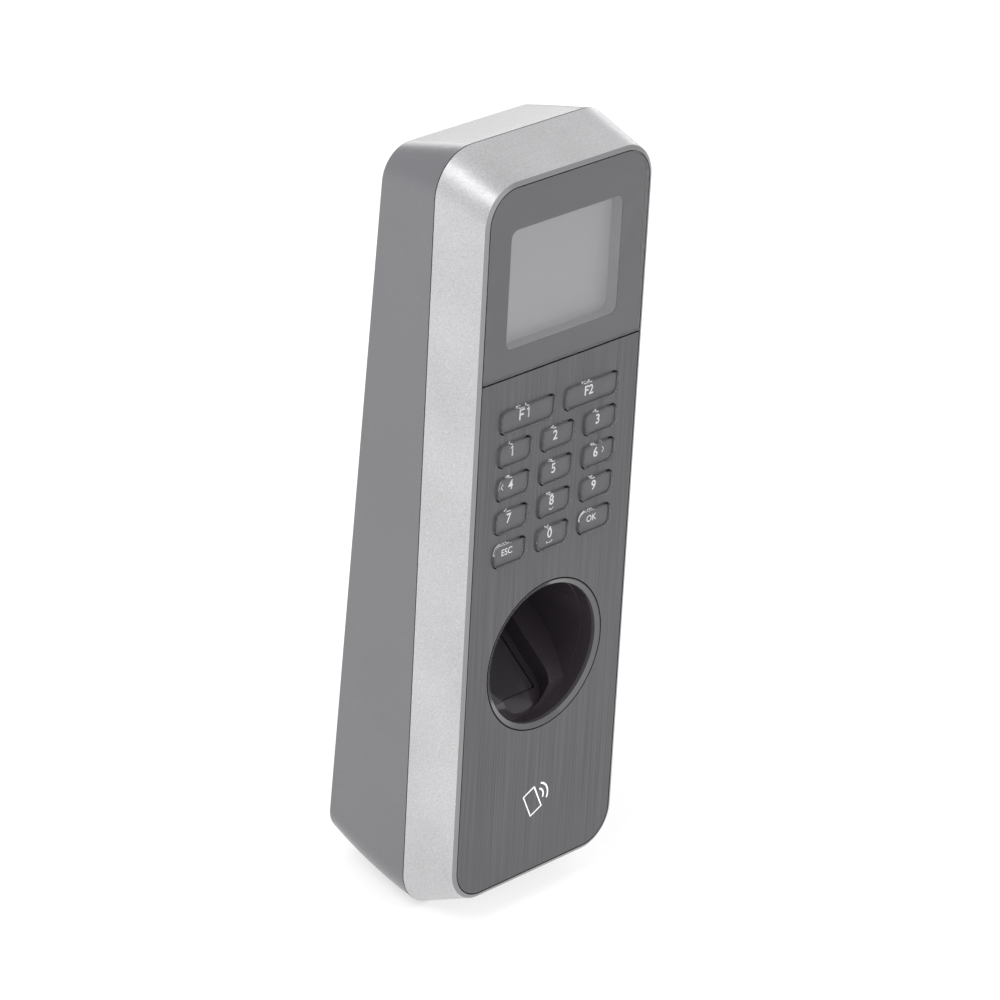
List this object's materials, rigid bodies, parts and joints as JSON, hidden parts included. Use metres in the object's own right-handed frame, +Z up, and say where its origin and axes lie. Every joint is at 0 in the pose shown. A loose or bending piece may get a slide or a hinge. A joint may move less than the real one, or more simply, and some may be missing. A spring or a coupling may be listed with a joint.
{
  "type": "fingerprint scanner terminal",
  "caption": "Slim wall-mounted access terminal with a display, sprung keypad, round finger well and hidden card reader on a steel wall bracket.",
  "frame": {"origin": "centre of the wall screw pattern, on the wall plane behind the terminal", "axes": "+Z up along the terminal, +Y into the wall, so the front faces -Y, +X to the right seen from the front"},
  "size_m": [0.058, 0.0438, 0.1953],
  "materials": {
    "silver_frame": "satin",
    "window_glass": "gloss",
    "window_print": "gloss",
    "panel_plate": "brushed",
    "key_cap": "gloss",
    "silicone": "matte",
    "board": "satin",
    "connector_plastic": "matte",
    "lcd_glass": "gloss",
    "lcd_bezel": "matte",
    "light_guide": "matte",
    "flex_film": "satin",
    "ring_plastic": "gloss",
    "well_plastic": "gloss",
    "prism_glass": "gloss",
    "black_plastic": "matte",
    "camera_body": "matte",
    "led_lens": "gloss",
    "tin_plate": "satin",
    "chip_resin": "matte",
    "capacitor_can": "satin",
    "terminal_green": "matte",
    "coin_steel": "satin",
    "housing_black": "satin",
    "gasket_rubber": "matte",
    "coil_copper": "satin",
    "zinc_steel": "satin",
    "screw_steel": "satin"
  },
  "bodies": {
    "housing": {"front_frame": "silver_frame", "display_window": "window_glass", "display_mask": "window_print", "keypad_panel": "panel_plate", "keypad_mat": "silicone", "keypad_board": "board", "keypad_connector": "connector_plastic", "lcd_frame": "lcd_bezel", "lcd_panel": "lcd_glass", "lcd_backlight": "light_guide", "lcd_flex": "flex_film", "display_connector": "connector_plastic", "sensor_ring": "ring_plastic", "sensor_well": "well_plastic", "sensor_glass": "prism_glass", "sensor_housing": "black_plastic", "sensor_board": "board", "sensor_camera": "camera_body", "sensor_leds": "led_lens", "main_board": "board", "shield_can": "tin_plate", "usb_port": "tin_plate", "coin_holder": "black_plastic", "coin_cell": "coin_steel", "memory_chips": "chip_resin", "capacitors": "capacitor_can", "buzzer": "black_plastic", "terminal_block": "terminal_green", "network_jack": "tin_plate", "tamper_switch": "black_plastic", "rf_board": "board", "antenna_coil": "coil_copper", "rear_housing": "housing_black", "housing_gasket": "gasket_rubber", "wall_bracket": "zinc_steel", "case_screws": "screw_steel", "board_screws": "screw_steel", "keypad_screws": "screw_steel", "sensor_screws": "screw_steel", "bracket_screw": "screw_steel"},
    "key_f1": {"key_f1": "key_cap"},
    "key_f2": {"key_f2": "key_cap"},
    "key_1": {"key_1": "key_cap"},
    "key_2": {"key_2": "key_cap"},
    "key_3": {"key_3": "key_cap"},
    "key_4": {"key_4": "key_cap"},
    "key_5": {"key_5": "key_cap"},
    "key_6": {"key_6": "key_cap"},
    "key_7": {"key_7": "key_cap"},
    "key_8": {"key_8": "key_cap"},
    "key_9": {"key_9": "key_cap"},
    "key_esc": {"key_esc": "key_cap"},
    "key_0": {"key_0": "key_cap"},
    "key_ok": {"key_ok": "key_cap"},
    "tamper_plunger": {"tamper_plunger": "connector_plastic"}
  },
  "joints": [
    {"name": "key_f1_press", "type": "slide", "parent": "housing", "child": "key_f1", "axis": [0, 0.9986, -0.0523], "range_m": [0, 0.0007], "stiffness_N_per_m": 1500},
    {"name": "key_f2_press", "type": "slide", "parent": "housing", "child": "key_f2", "axis": [0, 0.9986, -0.0523], "range_m": [0, 0.0007], "stiffness_N_per_m": 1500},
    {"name": "key_1_press", "type": "slide", "parent": "housing", "child": "key_1", "axis": [0, 0.9986, -0.0523], "range_m": [0, 0.0007], "stiffness_N_per_m": 1500},
    {"name": "key_2_press", "type": "slide", "parent": "housing", "child": "key_2", "axis": [0, 0.9986, -0.0523], "range_m": [0, 0.0007], "stiffness_N_per_m": 1500},
    {"name": "key_3_press", "type": "slide", "parent": "housing", "child": "key_3", "axis": [0, 0.9986, -0.0523], "range_m": [0, 0.0007], "stiffness_N_per_m": 1500},
    {"name": "key_4_press", "type": "slide", "parent": "housing", "child": "key_4", "axis": [0, 0.9986, -0.0523], "range_m": [0, 0.0007], "stiffness_N_per_m": 1500},
    {"name": "key_5_press", "type": "slide", "parent": "housing", "child": "key_5", "axis": [0, 0.9986, -0.0523], "range_m": [0, 0.0007], "stiffness_N_per_m": 1500},
    {"name": "key_6_press", "type": "slide", "parent": "housing", "child": "key_6", "axis": [0, 0.9986, -0.0523], "range_m": [0, 0.0007], "stiffness_N_per_m": 1500},
    {"name": "key_7_press", "type": "slide", "parent": "housing", "child": "key_7", "axis": [0, 0.9986, -0.0523], "range_m": [0, 0.0007], "stiffness_N_per_m": 1500},
    {"name": "key_8_press", "type": "slide", "parent": "housing", "child": "key_8", "axis": [0, 0.9986, -0.0523], "range_m": [0, 0.0007], "stiffness_N_per_m": 1500},
    {"name": "key_9_press", "type": "slide", "parent": "housing", "child": "key_9", "axis": [0, 0.9986, -0.0523], "range_m": [0, 0.0007], "stiffness_N_per_m": 1500},
    {"name": "key_esc_press", "type": "slide", "parent": "housing", "child": "key_esc", "axis": [0, 0.9986, -0.0523], "range_m": [0, 0.0007], "stiffness_N_per_m": 1500},
    {"name": "key_0_press", "type": "slide", "parent": "housing", "child": "key_0", "axis": [0, 0.9986, -0.0523], "range_m": [0, 0.0007], "stiffness_N_per_m": 1500},
    {"name": "key_ok_press", "type": "slide", "parent": "housing", "child": "key_ok", "axis": [0, 0.9986, -0.0523], "range_m": [0, 0.0007], "stiffness_N_per_m": 1500},
    {"name": "tamper_slide", "type": "slide", "parent": "housing", "child": "tamper_plunger", "axis": [0, -1, 0], "range_m": [0, 0.0015], "stiffness_N_per_m": 400}
  ]
}
